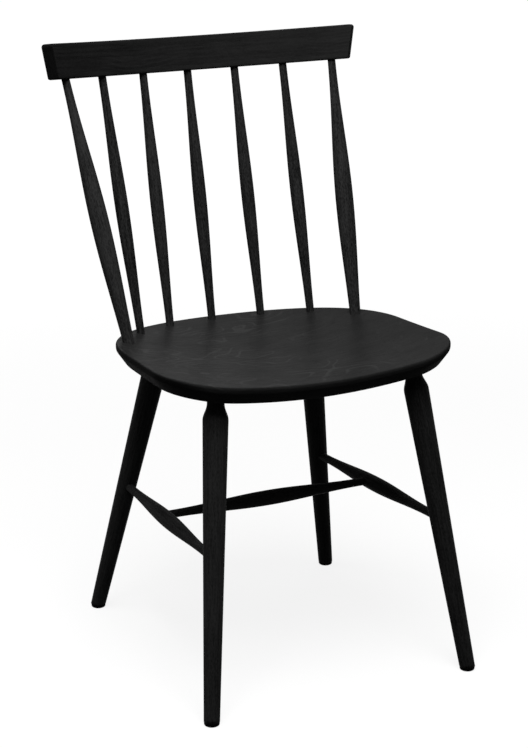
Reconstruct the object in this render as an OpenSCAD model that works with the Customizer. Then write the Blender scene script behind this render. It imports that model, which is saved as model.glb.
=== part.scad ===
// Spindle-back dining chair: a dished seat on four splayed turned legs, which an H of
// three stretchers ties together, and seven turned spindles under a bent crest rail.
// The chair faces -Y, and left and right are as seen by someone who stands before it.
// Plan measures start from the centre of the seat's rounded back, called the datum.
// The finished chair is then moved so that the origin is under the middle of its box.

/* [Seat] */
// Height of the seat's top above the floor at the middle of the front edge
seat_h = 449; // [400:1:500]
// Radius of the seat's rounded back, which also sets the seat's width
seat_back_r = 220; // [200:0.5:240]
// Distance from the datum forward to the straight front edge
seat_front = 194.5; // [175:0.5:220]
// Angle by which each side spreads towards the front
side_flare = 2.5; // [0:0.5:5]
// Radius of the two front corners
corner_r = 88.6; // [65:0.2:110]
// Thickness of the seat
seat_t = 24.3; // [21:0.1:35]
// Rise of the dished top at the sides, one back radius from the middle
side_dish = 23.8; // [0:0.2:30]
// Rise of the dished top one back radius in front of or behind the datum
end_dish = 4.7; // [0:0.1:10]
// Angle by which the seat falls towards the back
seat_fall = 1.75; // [0:0.05:4]
// Radius of the rounded upper edge
edge_r = 4; // [2:0.5:6]
// Depth of the upright part of the edge, below the top
edge_band = 8.7; // [7:0.1:12]
// Distance that the bevel under the edge runs inwards
bevel_in = 12.5; // [8:0.5:18]

/* [Legs] */
// Distance between the centres of the front feet on the floor
front_feet_w = 404.4; // [360:0.2:440]
// Distance from the datum forward to the front feet
front_feet_y = 240.7; // [220:0.1:260]
// Distance between the centres of the front legs under the seat
front_tops_w = 303.8; // [270:0.2:320]
// Distance from the datum forward to the front legs under the seat
front_tops_y = 150.2; // [130:0.2:156]
// Distance between the centres of the back feet on the floor
back_feet_w = 396.4; // [350:0.2:430]
// Distance from the datum back to the back feet
back_feet_y = 200.2; // [180:0.2:220]
// Distance between the centres of the back legs under the seat
back_tops_w = 248; // [200:0.2:260]
// Distance from the datum back to the back legs under the seat
back_tops_y = 116.9; // [90:0.1:125]
// Diameter of a leg at its thickest place, below the neck
leg_d = 35.4; // [30:0.2:42]
// Diameter of a leg at the floor
leg_foot_d = 22.2; // [18:0.2:28]
// Diameter of the neck and of the tenon above it
leg_neck_d = 24; // [18:0.5:28]
// Length of the straight neck that shows under the seat
neck_l = 7; // [3:0.5:15]
// Length of the curve from the neck out to the thickest place
shoulder_l = 22; // [14:1:40]

/* [Stretchers] */
// Height of a side stretcher where it meets the front leg
side_front_z = 221.4; // [150:0.2:280]
// Height of a side stretcher where it meets the back leg
side_back_z = 207.6; // [150:0.2:280]
// Distance from the datum back to the cross stretcher
cross_y = 3.9; // [-60:0.1:60]
// Diameter of the ends of a side stretcher
side_end_d = 12; // [10:0.5:14]
// Diameter of the middle of a side stretcher
side_mid_d = 22.8; // [18:0.2:28]
// Diameter of the ends of the cross stretcher
cross_end_d = 11.8; // [9:0.2:14]
// Diameter of the middle of the cross stretcher
cross_mid_d = 22.6; // [16:0.2:28]
// Length of the swelling, from the middle of a stretcher to each side
swell_l = 150; // [110:1:160]

/* [Spindles] */
// Distance from the seat's back edge to the middle of the spindles
spindle_in = 18.5; // [16:0.5:26]
// Spacing of the spindles along their curve on the seat
seat_pitch = 77.1; // [64:0.1:82]
// Spacing of the spindles along the crest rail
crest_pitch = 75; // [60:0.5:78]
// Diameter of the slim ends of a spindle
spindle_end_d = 11.8; // [11:0.1:14]
// Diameter of an inner spindle at its thickest place
inner_mid_d = 20; // [15:0.2:24]
// Distance of an inner spindle's thickest place from the seat
inner_mid_l = 182; // [150:1:230]
// Length of an inner spindle's swelling to each side of that place
inner_swell_l = 192; // [140:1:230]
// Diameter of an outer spindle at its thickest place
outer_mid_d = 27; // [20:0.2:32]
// Diameter of an outer spindle where it enters the seat
outer_foot_d = 16.2; // [13:0.2:18]
// Distance of an outer spindle's thickest place from the seat
outer_mid_l = 170; // [140:1:210]
// Length of an outer spindle's swelling below that place
outer_swell_low_l = 205; // [170:1:240]
// Length of an outer spindle's swelling above that place
outer_swell_high_l = 222; // [160:1:230]

/* [Crest rail] */
// Height of the rail's underside above the floor at its middle
crest_z = 804.5; // [740:0.5:860]
// Distance from the datum back to the middle of the rail's underside
crest_y = 284.4; // [250:0.1:320]
// Radius of the rail's bend, at the middle of its thickness
crest_bend_r = 435.5; // [380:0.5:700]
// Angle by which the rail leans back
crest_lean = 9.8; // [6:0.1:14]
// Length of the rail along its lower edge
crest_l = 505; // [490:0.5:540]
// Height of the rail, along its lean
crest_h = 51.2; // [38:0.2:80]
// Thickness of the rail
crest_t = 19; // [17:0.2:24]
// Angle by which each end of the rail is cut outwards
crest_flare = 11; // [0:0.5:15]
// Radius of the rail's long edges
crest_edge_r = 2; // [1:0.5:4]

/* [Joints] */
// Clearance of a tenon in its socket, filled by glue
glue = 0.1; // [0.05:0.05:0.2]
// Space left between the end of a tenon and the bottom of its socket
tenon_gap = 0.4; // [0.2:0.1:0.8]
// Depth of the leg sockets in the seat
leg_socket_l = 17.5; // [14:0.5:18]
// Depth of the spindle sockets in the seat
spindle_socket_l = 17; // [14:0.5:18]
// Depth of the spindle sockets in the crest rail
crest_socket_l = 14; // [10:0.5:16]
// Diameter of the tenon at the top of a spindle
crest_tenon_d = 10; // [8:0.5:10.5]
// Depth of the stretcher sockets in the legs
side_socket_l = 19; // [14:0.5:22]
// Depth of the cross stretcher's sockets in the side stretchers
cross_socket_l = 13; // [10:0.5:16]
// Bevel at the end of every tenon
tenon_bevel = 1; // [0.5:0.5:2]

/* [Glides] */
// Diameter of a glide
glide_d = 21.6; // [16:0.2:22]
// Height of a glide
glide_h = 5.5; // [4:0.5:8]
// Radius of a glide's lower edge
glide_edge_r = 2.5; // [1:0.5:3]
// Diameter of the nail that holds a glide
nail_d = 2; // [1.6:0.2:2.6]
// Length of the nail above its head
nail_l = 20; // [14:1:24]
// Diameter of the nail's head
nail_head_d = 6; // [4.5:0.5:7]
// Thickness of the nail's head
nail_head_t = 1.2; // [0.8:0.2:1.6]
// Depth of the nail's head above the floor
nail_sink = 1.2; // [0.8:0.2:2]
// Clearance round the nail and its head
nail_gap = 0.1; // [0.05:0.05:0.2]

/* [Hidden] */
$fn = 72;
// Longer than any piece, for the blocks that cut planes
far = 900;
// Turns the start of a leg's round surface away from the low side of its level cut
seam_turn = 100;
// How far a drilling tool starts outside the surface that it enters
run_in = 6;
wood = [0.075, 0.075, 0.078];
plastic = [0.03, 0.03, 0.03];
steel = [0.62, 0.63, 0.65];
left = -1;
right = 1;
// The spindles are numbered from the middle one out to the two outer ones
outer_index = 3;
// Number of steps along the curve of a turned piece
turned_steps = 26;
// Number of facets in a full circle of the crest rail's wide bend
bend_facets = 360;

// The seat's dished top

fall = tan(seat_fall);
seat_datum_z = seat_h - fall * seat_front - end_dish * pow(seat_front / seat_back_r, 2);

function seat_top(x, y) =
    seat_datum_z - fall * y
    + side_dish * pow(x / seat_back_r, 2) + end_dish * pow(y / seat_back_r, 2);

function on_seat_top(x, y) = [x, y, seat_top(x, y)];
function under_seat(x, y) = [x, y, seat_top(x, y) - seat_t];

// The angle of an arc, and the point of a line at a height

function arc_angle(length, radius) = length / radius * 180 / PI;
function at_height(foot, top, z) = foot + (top - foot) * (z - foot.z) / (top.z - foot.z);

// Legs: the foot lies on the floor, and the top under the seat

function front_foot(side) = [side * front_feet_w / 2, -front_feet_y, 0];
function back_foot(side) = [side * back_feet_w / 2, back_feet_y, 0];
function front_top(side) = under_seat(side * front_tops_w / 2, -front_tops_y);
function back_top(side) = under_seat(side * back_tops_w / 2, back_tops_y);

function leg_r(s, length) =
    let (below = length - s, full = length - neck_l - shoulder_l)
    below < neck_l ? leg_neck_d / 2
    : below < neck_l + shoulder_l
        ? leg_neck_d / 2 + (leg_d - leg_neck_d) / 4 * (1 - cos(180 * (below - neck_l) / shoulder_l))
        : leg_foot_d / 2 + (leg_d - leg_foot_d) / 2 * s / full;

function leg_r_at(foot, top, z) =
    let (length = norm(top - foot)) leg_r(length * z / top.z, length);

// The middle of a leg's cut end, which the glide and its nail stand under
function foot_under(foot, top) = at_height(foot, top, glide_h);

// Stretchers: each end is a point on the axis of the piece that it enters

function side_front_end(side) = at_height(front_foot(side), front_top(side), side_front_z);
function side_back_end(side) = at_height(back_foot(side), back_top(side), side_back_z);
function cross_end(side) =
    let (a = side_front_end(side), b = side_back_end(side))
    a + (b - a) * (cross_y - a.y) / (b.y - a.y);

function swell(d, half_l) = abs(d) < half_l ? pow(cos(90 * d / half_l), 2) : 0;

function side_r(s, length) =
    side_end_d / 2 + (side_mid_d - side_end_d) / 2 * swell(s - length / 2, swell_l);
function cross_r(s, length) =
    cross_end_d / 2 + (cross_mid_d - cross_end_d) / 2 * swell(s - length / 2, swell_l);

// How far a stretcher runs past the axis of the piece that it enters
side_past_front = side_socket_l
    - leg_r_at(front_foot(right), front_top(right), side_front_z);
side_past_back = side_socket_l - leg_r_at(back_foot(right), back_top(right), side_back_z);
cross_past = cross_socket_l
    - side_r(
        norm(cross_end(right) - side_front_end(right)),
        norm(side_back_end(right) - side_front_end(right))
    );

// Spindles: the foot lies on the seat's top, and the head on the rail's underside

spindle_arc_r = seat_back_r - spindle_in;
spindle_step = arc_angle(seat_pitch, spindle_arc_r);

function crest_point(length, radius, height) =
    let (a = arc_angle(length, crest_bend_r), back = radius * cos(a) - crest_bend_r)
    [
        radius * sin(a),
        crest_y + back * cos(crest_lean) + height * sin(crest_lean),
        crest_z - back * sin(crest_lean) + height * cos(crest_lean)
    ];

function spindle_foot(i) =
    on_seat_top(spindle_arc_r * sin(i * spindle_step), spindle_arc_r * cos(i * spindle_step));
function spindle_head(i) = crest_point(i * crest_pitch, crest_bend_r, 0);

// The share of the swelling that is left where an outer spindle enters the seat
outer_foot_swell = swell(outer_mid_l, outer_swell_low_l);

function inner_r(s) =
    spindle_end_d / 2
    + (inner_mid_d - spindle_end_d) / 2 * swell(s - inner_mid_l, inner_swell_l);
function outer_low_r(s) =
    outer_foot_d / 2
    + (outer_mid_d - outer_foot_d) / 2
        * (swell(s - outer_mid_l, outer_swell_low_l) - outer_foot_swell) / (1 - outer_foot_swell);
function outer_high_r(s) =
    spindle_end_d / 2
    + (outer_mid_d - spindle_end_d) / 2 * swell(s - outer_mid_l, outer_swell_high_l);
function spindle_r(i, s) =
    abs(i) < outer_index ? inner_r(s) : s < outer_mid_l ? outer_low_r(s) : outer_high_r(s);

// The chair's box runs from the front legs' cut ends to the rail's rounded back edge

front_lean = (front_top(right).y - front_foot(right).y) / front_top(right).z;
front_y = front_foot(right).y + front_lean * glide_h
    - leg_r_at(front_foot(right), front_top(right), glide_h) * norm([1, front_lean]);
back_y = crest_y + (crest_t / 2 - crest_edge_r) * cos(crest_lean)
    + (crest_h - crest_edge_r) * sin(crest_lean) + crest_edge_r;
middle_y = (front_y + back_y) / 2;

module placed() {
    translate([0, -middle_y, 0]) children();
}

// Puts a child that stands on the floor plane on point a, pointing at point b

module along(a, b) {
    d = b - a;
    translate(a) rotate([0, acos(d.z / norm(d)), atan2(d.y, d.x)]) children();
}

// A turned bar from low to high, whose radius at each place s is in radii

module turned(low, high, radii, places) {
    n = len(places);
    side = [for (k = [0:n - 1]) [radii[k], places[k]]];
    low_end = [[0, low], [radii[0] - tenon_bevel, low], [radii[0], low + tenon_bevel]];
    high_end = [
        [radii[n - 1], high - tenon_bevel], [radii[n - 1] - tenon_bevel, high], [0, high]
    ];
    rotate_extrude() polygon(concat(low_end, side, high_end));
}

// A socket of the given depth, drilled at point a towards the side away from b

module socket(a, b, depth, d) {
    along(a, b) translate([0, 0, -depth]) cylinder(d = d + 2 * glue, h = depth + run_in);
}

// Seat: rings of points that follow the outline, over the top, the edge and the underside

arc_steps = 24;
corner_steps = 16;
straight_steps = 4;
round_steps = 4;
inner_rings = [0.25, 0.5, 0.75];
side_l = ((seat_back_r - corner_r) * sin(side_flare) + seat_front - corner_r) / cos(side_flare);
corner = [
    (seat_back_r - corner_r) * cos(side_flare) + side_l * sin(side_flare),
    corner_r - seat_front
];
seat_middle = [0, (seat_back_r - seat_front) / 2];

// Each point of the outline's right half holds its place and the angle that it faces
half_outline = concat(
    [
        for (k = [0:arc_steps])
            let (a = 90 + (side_flare - 90) * k / arc_steps)
            [seat_back_r * cos(a), seat_back_r * sin(a), a]
    ],
    [
        for (k = [1:straight_steps - 1])
            let (t = side_l * k / straight_steps, a = side_flare)
            [seat_back_r * cos(a) + t * sin(a), seat_back_r * sin(a) - t * cos(a), a]
    ],
    [
        for (k = [0:corner_steps])
            let (a = side_flare - (90 + side_flare) * k / corner_steps)
            [corner.x + corner_r * cos(a), corner.y + corner_r * sin(a), a]
    ],
    [
        for (k = [1:straight_steps])
            [corner.x * (1 - k / straight_steps), -seat_front, -90]
    ]
);
half_n = len(half_outline);
outline = concat(
    half_outline,
    [
        for (k = [half_n - 2:-1:1])
            let (p = half_outline[k]) [-p.x, p.y, 180 - p.z]
    ]
);

// Each ring is an inset from the outline, a depth below the top and a share of its size
rings = concat(
    [for (f = inner_rings) [edge_r, 0, f]],
    [
        for (k = [0:round_steps])
            let (a = 90 * k / round_steps)
            [edge_r * (1 - sin(a)), edge_r * (1 - cos(a)), 1]
    ],
    [[0, edge_band, 1], [bevel_in, seat_t, 1]],
    [for (k = [len(inner_rings) - 1:-1:0]) [bevel_in, seat_t, inner_rings[k]]]
);

function ring_point(p, ring) =
    let (
        edge = [p.x - ring[0] * cos(p.z), p.y - ring[0] * sin(p.z)],
        q = seat_middle + (edge - seat_middle) * ring[2]
    )
    [q.x, q.y, seat_top(q.x, q.y) - ring[1]];

module seat_board() {
    n = len(outline);
    m = len(rings);
    points = concat(
        [for (r = rings) each [for (p = outline) ring_point(p, r)]],
        [on_seat_top(seat_middle.x, seat_middle.y), under_seat(seat_middle.x, seat_middle.y)]
    );
    bands = [
        for (j = [0:m - 2])
            for (k = [0:n - 1])
                let (next = (k + 1) % n, a = j * n + k, b = j * n + next)
                each [[a, a + n, b + n], [a, b + n, b]]
    ];
    top_fan = [for (k = [0:n - 1]) [m * n, k, (k + 1) % n]];
    under_fan = [
        for (k = [0:n - 1]) [m * n + 1, (m - 1) * n + (k + 1) % n, (m - 1) * n + k]
    ];
    polyhedron(points, concat(bands, top_fan, under_fan), convexity = 4);
}

module seat() {
    color(wood) placed() difference() {
        seat_board();
        for (side = [left, right]) {
            leg_socket(front_foot(side), front_top(side));
            leg_socket(back_foot(side), back_top(side));
        }
        for (i = [-outer_index:outer_index])
            socket(spindle_foot(i), spindle_head(i), spindle_socket_l, 2 * spindle_r(i, 0));
    }
}

module leg_socket(foot, top) {
    socket(top, foot, leg_socket_l, leg_neck_d);
}

// Crest rail: bent about an upright axis in front of it, then leant back. The bent bar
// is a few degrees too long at each end, and the flared cuts take it to length.

module crest_frame() {
    translate([0, crest_y, crest_z]) rotate([-crest_lean, 0, 0]) children();
}

function rounded_box(x0, x1, y0, y1, r, steps) = [
    for (quarter = [0:3])
        for (k = [0:steps])
            let (
                a = 90 * (quarter + k / steps),
                x = quarter == 0 || quarter == 3 ? x1 - r : x0 + r,
                y = quarter < 2 ? y1 - r : y0 + r
            )
            [x + r * cos(a), y + r * sin(a)]
];

module crest_rail() {
    end_a = arc_angle(crest_l / 2, crest_bend_r);
    spare_a = crest_flare / 2 + 1;
    color(wood) placed() difference() {
        crest_frame() translate([0, -crest_bend_r, 0]) difference() {
            rotate([0, 0, 90 - end_a - spare_a])
                rotate_extrude(angle = 2 * (end_a + spare_a), $fn = bend_facets)
                    polygon(rounded_box(
                        crest_bend_r - crest_t / 2, crest_bend_r + crest_t / 2,
                        0, crest_h, crest_edge_r, round_steps
                    ));
            for (side = [left, right])
                rotate([0, 0, -side * end_a]) rotate([0, side * crest_flare, 0])
                    translate([side > 0 ? 0 : -far, -far, -far]) cube([far, 2 * far, 2 * far]);
        }
        for (i = [-outer_index:outer_index])
            socket(spindle_head(i), spindle_foot(i), crest_socket_l, crest_tenon_d);
    }
}

// Spindles: the turned bar is trimmed to the rail's underside, with a slim tenon above it

module spindle(i) {
    foot = spindle_foot(i);
    head = spindle_head(i);
    length = norm(head - foot);
    places = [for (k = [0:turned_steps]) length * k / turned_steps];
    radii = [for (s = places) spindle_r(i, s)];
    color(wood) placed() {
        difference() {
            along(foot, head)
                turned(tenon_gap - spindle_socket_l, length + run_in, radii, places);
            crest_frame() translate([-far, -far, 0]) cube([2 * far, 2 * far, far]);
        }
        along(foot, head)
            turned(
                length - run_in, length + crest_socket_l - tenon_gap,
                [crest_tenon_d / 2], [length]
            );
    }
}

module outer_spindle_left() spindle(-outer_index);
module spindle_2() spindle(-2);
module spindle_3() spindle(-1);
module spindle_4() spindle(0);
module spindle_5() spindle(1);
module spindle_6() spindle(2);
module outer_spindle_right() spindle(outer_index);

// Legs: cut level at the foot, with a socket for the side stretcher and one for the nail

module leg(foot, top, stretcher_end, stretcher_far, past) {
    length = norm(top - foot);
    under = foot_under(foot, top);
    nail_hole_l = nail_sink + nail_head_t + nail_l + tenon_gap;
    curve_steps = 10;
    curve_low = length - neck_l - shoulder_l;
    places = concat(
        [0], [for (k = [0:curve_steps]) curve_low + shoulder_l * k / curve_steps], [length]
    );
    radii = [for (s = places) leg_r(s, length)];
    color(wood) placed() difference() {
        along(foot, top) rotate([0, 0, seam_turn])
            turned(-leg_foot_d / 2, length + leg_socket_l - tenon_gap, radii, places);
        translate([-far, -far, glide_h - far]) cube([2 * far, 2 * far, far]);
        along(stretcher_end, stretcher_far) translate([0, 0, -past])
            cylinder(d = side_end_d + 2 * glue, h = past + leg_d / 2 + run_in);
        translate([under.x, under.y, 0]) cylinder(d = nail_d + 2 * nail_gap, h = nail_hole_l);
    }
}

module front_leg(side) {
    leg(
        front_foot(side), front_top(side),
        side_front_end(side), side_back_end(side), side_past_front
    );
}

module back_leg(side) {
    leg(
        back_foot(side), back_top(side),
        side_back_end(side), side_front_end(side), side_past_back
    );
}

module front_leg_left() front_leg(left);
module front_leg_right() front_leg(right);
module back_leg_left() back_leg(left);
module back_leg_right() back_leg(right);

// Stretchers: the cross stretcher enters the two side stretchers

module side_stretcher(side) {
    a = side_front_end(side);
    b = side_back_end(side);
    length = norm(b - a);
    places = [for (k = [0:turned_steps]) length * k / turned_steps];
    radii = [for (s = places) side_r(s, length)];
    color(wood) placed() difference() {
        along(a, b)
            turned(tenon_gap - side_past_front, length + side_past_back - tenon_gap, radii, places);
        along(cross_end(side), cross_end(-side)) translate([0, 0, -cross_past])
            cylinder(d = cross_end_d + 2 * glue, h = cross_past + side_mid_d / 2 + run_in);
    }
}

module side_stretcher_left() side_stretcher(left);
module side_stretcher_right() side_stretcher(right);

module cross_stretcher() {
    a = cross_end(left);
    b = cross_end(right);
    length = norm(b - a);
    places = [for (k = [0:turned_steps]) length * k / turned_steps];
    radii = [for (s = places) cross_r(s, length)];
    color(wood) placed() along(a, b)
        turned(tenon_gap - cross_past, length + cross_past - tenon_gap, radii, places);
}

// Glides: a round plastic foot with a rounded lower edge and a recess for the nail's head

module glide(foot, top) {
    r = glide_d / 2;
    e = glide_edge_r;
    hole_r = nail_d / 2 + nail_gap;
    head_r = nail_head_d / 2 + nail_gap;
    head_top = nail_sink + nail_head_t + nail_gap;
    under = foot_under(foot, top);
    round_edge = [
        for (k = [0:round_steps])
            let (a = -90 + 90 * k / round_steps) [r - e + e * cos(a), e + e * sin(a)]
    ];
    color(plastic) placed() translate([under.x, under.y, 0])
        rotate_extrude() polygon(concat(
            [[head_r, 0]], round_edge,
            [[r, glide_h], [hole_r, glide_h], [hole_r, head_top], [head_r, head_top]]
        ));
}

module glide_nail(foot, top) {
    under = foot_under(foot, top);
    point_l = 2 * nail_d;
    color(steel) placed() translate([under.x, under.y, nail_sink]) rotate_extrude() polygon([
        [0, 0], [nail_head_d / 2, 0], [nail_head_d / 2, nail_head_t], [nail_d / 2, nail_head_t],
        [nail_d / 2, nail_head_t + nail_l - point_l], [0, nail_head_t + nail_l]
    ]);
}

module glide_front_left() glide(front_foot(left), front_top(left));
module glide_front_right() glide(front_foot(right), front_top(right));
module glide_back_left() glide(back_foot(left), back_top(left));
module glide_back_right() glide(back_foot(right), back_top(right));
module glide_nail_front_left() glide_nail(front_foot(left), front_top(left));
module glide_nail_front_right() glide_nail(front_foot(right), front_top(right));
module glide_nail_back_left() glide_nail(back_foot(left), back_top(left));
module glide_nail_back_right() glide_nail(back_foot(right), back_top(right));

seat();
crest_rail();
outer_spindle_left();
spindle_2();
spindle_3();
spindle_4();
spindle_5();
spindle_6();
outer_spindle_right();
front_leg_left();
front_leg_right();
back_leg_left();
back_leg_right();
side_stretcher_left();
side_stretcher_right();
cross_stretcher();
glide_front_left();
glide_front_right();
glide_back_left();
glide_back_right();
glide_nail_front_left();
glide_nail_front_right();
glide_nail_back_left();
glide_nail_back_right();
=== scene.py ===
# %% [markdown]
# # A spindle-back dining chair in black stained wood
#
# The chair is a dished seat on four splayed legs. Three stretchers tie the legs together in an
# H, and seven turned spindles fan out from the seat to a bent crest rail. This lesson dresses
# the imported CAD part: each wooden piece gets a smooth mesh in the place of its CAD node, and
# the small plastic and steel pieces keep their CAD meshes and get a finish.

from functools import partial
from math import cos, pi, radians, sin, tan

import bpy
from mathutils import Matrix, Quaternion, Vector


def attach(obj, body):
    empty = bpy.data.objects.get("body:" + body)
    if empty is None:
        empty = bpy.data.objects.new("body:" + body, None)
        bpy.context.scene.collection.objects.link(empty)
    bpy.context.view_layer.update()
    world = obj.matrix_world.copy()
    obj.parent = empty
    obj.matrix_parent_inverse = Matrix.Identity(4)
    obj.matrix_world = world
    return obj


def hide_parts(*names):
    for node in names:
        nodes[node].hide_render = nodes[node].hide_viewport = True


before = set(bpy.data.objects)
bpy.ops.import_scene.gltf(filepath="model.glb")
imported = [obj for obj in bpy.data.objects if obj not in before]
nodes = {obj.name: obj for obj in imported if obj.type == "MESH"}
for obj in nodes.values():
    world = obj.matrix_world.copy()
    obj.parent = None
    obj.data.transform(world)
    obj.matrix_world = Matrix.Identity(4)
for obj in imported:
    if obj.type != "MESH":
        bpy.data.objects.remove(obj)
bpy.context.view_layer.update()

# %% [markdown]
# ## The drawing
#
# A chair is made from a few full-size measures: where each foot and each socket is, and how
# thick each turned piece is along its length. They could be read off the CAD meshes, but a
# drawing in numbers is easier to follow and to change. It is in millimetres, with X across the
# chair, Y from front to back and Z up. Its origin is the centre of the seat's rounded back, as a
# chair maker would mark it out on a board. One shift then moves it to the middle of the footprint.

# %% The seat's dished top
MM = 0.001
SHIFT_Y = -25.59

SEAT_HEIGHT = 449
SEAT_BACK_RADIUS = 220
SEAT_FRONT = 194.5
SEAT_FALL = tan(radians(1.75))
SIDE_DISH = 23.8
END_DISH = 4.7
SEAT_THICKNESS = 24.3
seat_datum = SEAT_HEIGHT - SEAT_FALL * SEAT_FRONT - END_DISH * (SEAT_FRONT / SEAT_BACK_RADIUS) ** 2


def seat_top(x, y):
    """Height of the seat's top: it falls towards the back and rises towards every edge."""
    dish = SIDE_DISH * x * x + END_DISH * y * y
    return seat_datum - SEAT_FALL * y + dish / SEAT_BACK_RADIUS ** 2


def on_seat(x, y):
    return Vector((x, y, seat_top(x, y)))


def under_seat(x, y):
    return Vector((x, y, seat_top(x, y) - SEAT_THICKNESS))


print("seat top at the middle:", round(seat_top(0, 0), 1), "mm")

# %% Feet, and where the stretchers meet the legs
LEFT, RIGHT = -1, 1
SIDES = {"left": LEFT, "right": RIGHT}
LEG_FEET = {"front": (202.2, -240.7), "back": (198.2, 200.2)}
LEG_TOPS = {"front": (151.9, -150.2), "back": (124, 116.9)}
STRETCHER_HEIGHTS = {"front": 221.4, "back": 207.6}
CROSS_STRETCHER_Y = 3.9


def leg_foot(row, side):
    x, y = LEG_FEET[row]
    return Vector((side * x, y, 0))


def leg_top(row, side):
    x, y = LEG_TOPS[row]
    return under_seat(side * x, y)


def side_end(row, side):
    """Where a side stretcher ends: on the middle line of a leg."""
    foot, top = leg_foot(row, side), leg_top(row, side)
    return foot.lerp(top, STRETCHER_HEIGHTS[row] / top.z)


def cross_end(side):
    """Where the cross stretcher ends: on the middle line of a side stretcher."""
    front, back = side_end("front", side), side_end("back", side)
    return front.lerp(back, (CROSS_STRETCHER_Y - front.y) / (back.y - front.y))


for row in LEG_FEET:
    leg_line = leg_top(row, LEFT) - leg_foot(row, LEFT)
    print("a", row, "leg is", round(leg_line.length), "mm long below the seat")

# %% The crest rail's arc and the fan of spindles
CREST_RADIUS = 435.5
CREST_LEAN = radians(9.8)
CREST_Y, CREST_Z = 284.4, 804.5
CREST_LENGTH, CREST_HEIGHT, CREST_THICKNESS = 505, 51.2, 19
CREST_FLARE = radians(11)
SPINDLE_CIRCLE = SEAT_BACK_RADIUS - 18.5
SEAT_PITCH, CREST_PITCH = 77.1, 75


def spindle_foot(i):
    a = i * SEAT_PITCH / SPINDLE_CIRCLE
    return on_seat(SPINDLE_CIRCLE * sin(a), SPINDLE_CIRCLE * cos(a))


def spindle_head(i):
    """On the rail's underside, which leans back with the rail."""
    a = i * CREST_PITCH / CREST_RADIUS
    back = CREST_RADIUS * (cos(a) - 1)
    y = CREST_Y + back * cos(CREST_LEAN)
    return Vector((CREST_RADIUS * sin(a), y, CREST_Z - back * sin(CREST_LEAN)))


for i in range(4):
    print("spindle", i, "is", round((spindle_head(i) - spindle_foot(i)).length), "mm long")

# %% [markdown]
# ## The camera
#
# The photograph was taken from the chair's front left, a little above the seat, with a long
# lens. Matching a few dozen points of the drawing to the picture gives the camera's place, its
# direction and its focal length together, so it is set by numbers and not by eye.

# %% Camera
CAMERA_PLACE = (-1.21341, -2.54912, 1.27738)
VIEW_AZIMUTH, VIEW_ELEVATION, VIEW_ROLL = radians(-25.528), radians(17.2964), radians(-0.039)
SENSOR_WIDTH, FOCAL_LENGTH = 36, 97.74
camera = bpy.data.objects.new("camera", bpy.data.cameras.new("camera"))
bpy.context.scene.collection.objects.link(camera)
camera.location = CAMERA_PLACE
towards_camera = Vector((
    sin(VIEW_AZIMUTH) * cos(VIEW_ELEVATION),
    -cos(VIEW_AZIMUTH) * cos(VIEW_ELEVATION),
    sin(VIEW_ELEVATION),
))
turn = towards_camera.to_track_quat("Z", "Y") @ Quaternion((0, 0, 1), VIEW_ROLL)
camera.rotation_euler = turn.to_euler()
camera.data.sensor_width = SENSOR_WIDTH
camera.data.lens = FOCAL_LENGTH
bpy.context.scene.camera = camera
print("camera is", round(camera.location.length, 2), "m from the origin")

# %% [markdown]
# ## Black stained wood
#
# The wood is stained black and then sealed with a nearly dull lacquer, so its colour is almost
# gone but its grain is not: fine streaks and pores run along the piece, and the growth rings
# show as faint lighter lines. A picture of wood would have a seam on a round piece and would
# stop short at its ends. Noise in space has neither fault, because the piece is cut out of it as
# out of a plank. Object coordinates can't follow the fibres of a splayed leg, though, so each
# mesh carries two attributes. One is named grain: a place inside the piece's own plank, in
# metres, with Z along the fibres. The other is named fibre: the way the fibres run.


# %% Node helpers
def add(tree, kind, settings=None, **inputs):
    """Adds a node. Each input is a number, a vector, or another node's output.

    An input goes by its name in Blender, with _ for a space, or by its number, as in0 or in1.
    """
    node = tree.nodes.new(kind)
    for key, value in (settings or {}).items():
        setattr(node, key, value)
    for key, value in inputs.items():
        numbered = key.startswith("in") and key[2:].isdigit()
        socket = node.inputs[int(key[2:]) if numbered else key.replace("_", " ")]
        if isinstance(value, bpy.types.NodeSocket):
            tree.links.new(value, socket)
        else:
            socket.default_value = value
    return node


def calc(tree, operation, a, b=0.0, clamp=False):
    node = add(tree, "ShaderNodeMath", {"operation": operation, "use_clamp": clamp}, in0=a, in1=b)
    return node.outputs[0]


def vector_calc(tree, operation, a, b=(0, 0, 0)):
    node = add(tree, "ShaderNodeVectorMath", {"operation": operation}, in0=a, in1=b)
    return node.outputs["Value" if operation in ("LENGTH", "DOT_PRODUCT") else "Vector"]


def spread(tree, value, low, high, to_low, to_high):
    """Turns the range from low to high into the range from to_low to to_high, smoothly."""
    node = add(
        tree, "ShaderNodeMapRange", {"interpolation_type": "SMOOTHSTEP"},
        Value=value, From_Min=low, From_Max=high, To_Min=to_low, To_Max=to_high,
    )
    return node.outputs["Result"]


# %% Empty materials
def empty_material(name):
    material = bpy.data.materials.new(name)
    material.use_nodes = True
    material.node_tree.nodes.clear()
    return material, material.node_tree


def show(tree, shader):
    """Joins a shader to the material's surface."""
    out = tree.nodes.new("ShaderNodeOutputMaterial")
    tree.links.new(shader.outputs[0], out.inputs["Surface"])


def attribute(tree, name):
    return add(tree, "ShaderNodeAttribute", {"attribute_name": name}).outputs


# %% [markdown]
# ### Streaks, flecks, clouds and pores
#
# Stain sinks deeper into some fibres than into others. That leaves long streaks, short flecks
# and broad clouds, and every open pore is a hair-thin dark line along the grain. All four are
# the same noise, drawn out along the fibres by different amounts. Each pair of numbers is how
# many spots fit in a metre: first across the fibres, then along them. Noise lies between 0 and
# 1 and seldom comes near either, so each mark also says from where to where it builds up.


# %% Noise in a plank
STREAKS_ACROSS = 360
FLECKS, CLOUDS, PORES = (800, 240), (30, 16), (1700, 45)
STAIN_LOW, STAIN_HIGH = 0.3, 0.7
PORE_LOW, PORE_HIGH = 0.55, 0.72


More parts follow.
